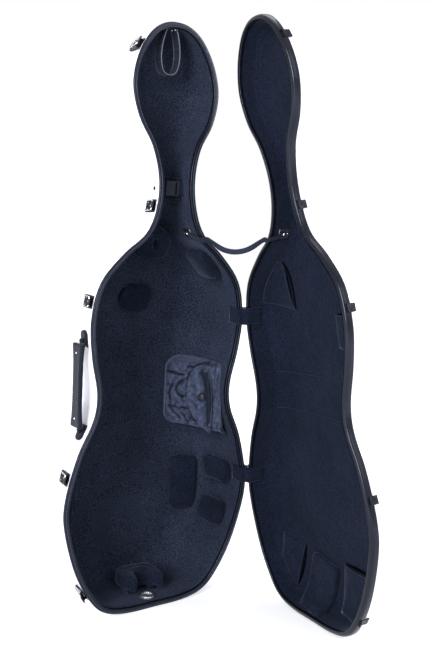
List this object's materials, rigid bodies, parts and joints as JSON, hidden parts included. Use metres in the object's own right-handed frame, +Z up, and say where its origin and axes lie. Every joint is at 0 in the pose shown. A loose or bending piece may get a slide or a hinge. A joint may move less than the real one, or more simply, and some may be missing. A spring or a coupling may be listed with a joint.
{
  "type": "cello hard case",
  "caption": "Hard case for a cello standing open: glossy white moulded shells with a black edge profile, dark velour lining, toggle latches, a carrying handle and a stay strap",
  "frame": {"origin": "centre of the bounding box of the open case, on the floor it stands on", "axes": "+Z up along the case; the deep half opens toward -Y and stands left, the lid half stands right of it, hinged at +X of the deep half"},
  "size_m": [0.5638, 0.6832, 1.3194],
  "materials": {
    "white gloss shell": "gloss",
    "black edge profile": "satin",
    "velour": "pile",
    "webbing": "woven",
    "chromed wire and lever": "polished",
    "steel plate": "brushed",
    "leather": "grained",
    "rubber": "matte",
    "buckle plastic": "matte"
  },
  "bodies": {
    "case_base": {"base_shell": "white gloss shell", "base_lining": "velour", "rim_seal": "rubber", "hinge_leaf_base_lower": "steel plate", "hinge_leaf_base_upper": "steel plate", "latch_plate_1": "steel plate", "latch_plate_2": "steel plate", "latch_plate_3": "steel plate", "latch_plate_4": "steel plate", "latch_plate_5": "steel plate", "base_rim": "black edge profile", "handle_tab_lower": "leather", "handle_tab_upper": "leather", "base_foot_hinge": "rubber", "base_foot_latch": "rubber", "hinge_cover_lower": "velour", "hinge_cover_upper": "velour", "stay_anchor_base": "steel plate", "stay_strap": "webbing", "scroll_loop": "webbing", "neck_cradle": "velour", "buckle_socket": "buckle plastic", "neck_strap_fixed": "webbing", "neck_strap_free": "webbing", "oval_pad": "velour", "heel_support": "velour", "shoulder_pad": "velour", "side_pad_a": "velour", "side_pad_b": "velour", "side_pad_c": "velour", "side_pad_d": "velour", "side_pad_e": "velour", "endpin_block": "velour", "endpin_cup": "steel plate", "pouch_bag": "velour"},
    "lid": {"lid_shell": "white gloss shell", "lid_lining": "velour", "hinge_leaf_lid_lower": "steel plate", "hinge_leaf_lid_upper": "steel plate", "lid_rim": "black edge profile", "lid_foot_hinge": "rubber", "lid_foot_latch": "rubber", "stay_anchor_lid": "steel plate", "lid_pocket_upper": "velour", "lid_pocket_hinge": "velour", "lid_pocket_latch": "velour", "lid_pad": "velour"},
    "lever_1": {"latch_lever_1": "chromed wire and lever"},
    "bail_1": {"latch_bail_1": "chromed wire and lever"},
    "lever_2": {"latch_lever_2": "chromed wire and lever"},
    "bail_2": {"latch_bail_2": "chromed wire and lever"},
    "lever_3": {"latch_lever_3": "chromed wire and lever"},
    "bail_3": {"latch_bail_3": "chromed wire and lever"},
    "lever_4": {"latch_lever_4": "chromed wire and lever"},
    "bail_4": {"latch_bail_4": "chromed wire and lever"},
    "lever_5": {"latch_lever_5": "chromed wire and lever"},
    "bail_5": {"latch_bail_5": "chromed wire and lever"},
    "handle": {"handle_grip": "leather"},
    "plug": {"buckle_plug": "buckle plastic"},
    "flap": {"pouch_flap": "velour"}
  },
  "joints": [
    {"name": "lid_hinge", "type": "hinge", "parent": "case_base", "child": "lid", "pos_m": [0.24113, 0.1738, 0.00041], "axis": [-0.1088, -0.0944, 0.9896], "range_deg": [-82.46, 15], "deforming": ["stay_strap", "hinge_cover_upper", "hinge_cover_lower"]},
    {"name": "lever_1", "type": "hinge", "parent": "case_base", "child": "lever_1", "pos_m": [-0.12392, 0.11113, 1.26636], "axis": [0.5626, -0.0019, 0.8267], "range_deg": [-150, 0]},
    {"name": "bail_1", "type": "hinge", "parent": "lever_1", "child": "bail_1", "pos_m": [-0.12878, 0.10289, 1.26964], "axis": [0.5626, -0.0019, 0.8267], "range_deg": [0, 339.96]},
    {"name": "lever_2", "type": "hinge", "parent": "case_base", "child": "lever_2", "pos_m": [-0.09, 0.10914, 0.92422], "axis": [0.1599, -0.0241, 0.9868], "range_deg": [-150, 0]},
    {"name": "bail_2", "type": "hinge", "parent": "lever_2", "child": "bail_2", "pos_m": [-0.09613, 0.10113, 0.92502], "axis": [0.1599, -0.0241, 0.9868], "range_deg": [0, 339.96]},
    {"name": "lever_3", "type": "hinge", "parent": "case_base", "child": "lever_3", "pos_m": [-0.23371, 0.12566, 0.71688], "axis": [0.1395, -0.094, 0.9858], "range_deg": [-150, 0]},
    {"name": "bail_3", "type": "hinge", "parent": "lever_3", "child": "bail_3", "pos_m": [-0.23995, 0.1177, 0.717], "axis": [0.1395, -0.094, 0.9858], "range_deg": [0, 339.96]},
    {"name": "lever_4", "type": "hinge", "parent": "case_base", "child": "lever_4", "pos_m": [-0.27191, 0.16199, 0.33596], "axis": [0.2135, -0.0927, 0.9725], "range_deg": [-150, 0]},
    {"name": "bail_4", "type": "hinge", "parent": "lever_4", "child": "bail_4", "pos_m": [-0.27806, 0.15398, 0.33655], "axis": [0.2135, -0.0927, 0.9725], "range_deg": [0, 339.96]},
    {"name": "lever_5", "type": "hinge", "parent": "case_base", "child": "lever_5", "pos_m": [-0.21568, 0.18821, 0.06095], "axis": [-0.5605, -0.0786, 0.8244], "range_deg": [-150, 0]},
    {"name": "bail_5", "type": "hinge", "parent": "lever_5", "child": "bail_5", "pos_m": [-0.2209, 0.18067, 0.05669], "axis": [-0.5605, -0.0786, 0.8244], "range_deg": [0, 339.96]},
    {"name": "handle_swing", "type": "hinge", "parent": "case_base", "child": "handle", "pos_m": [-0.23872, 0.15693, 0.53648], "axis": [-0.0172, -0.0949, 0.9953], "range_deg": [-25, 25]},
    {"name": "buckle_slide", "type": "slide", "parent": "case_base", "child": "plug", "axis": [1, 0, 0], "range_m": [0, 0.014], "deforming": ["neck_strap_free"]},
    {"name": "flap_hinge", "type": "hinge", "parent": "case_base", "child": "flap", "pos_m": [0.1243, 0.17033, 0.47471], "axis": [0, -0.0949, 0.9955], "range_deg": [0, 110]}
  ],
  "couplings": [
    {"joint": "bail_1", "follows": "lever_1", "ratio": -2.2664},
    {"joint": "bail_2", "follows": "lever_2", "ratio": -2.2664},
    {"joint": "bail_3", "follows": "lever_3", "ratio": -2.2664},
    {"joint": "bail_4", "follows": "lever_4", "ratio": -2.2664},
    {"joint": "bail_5", "follows": "lever_5", "ratio": -2.2664}
  ]
}
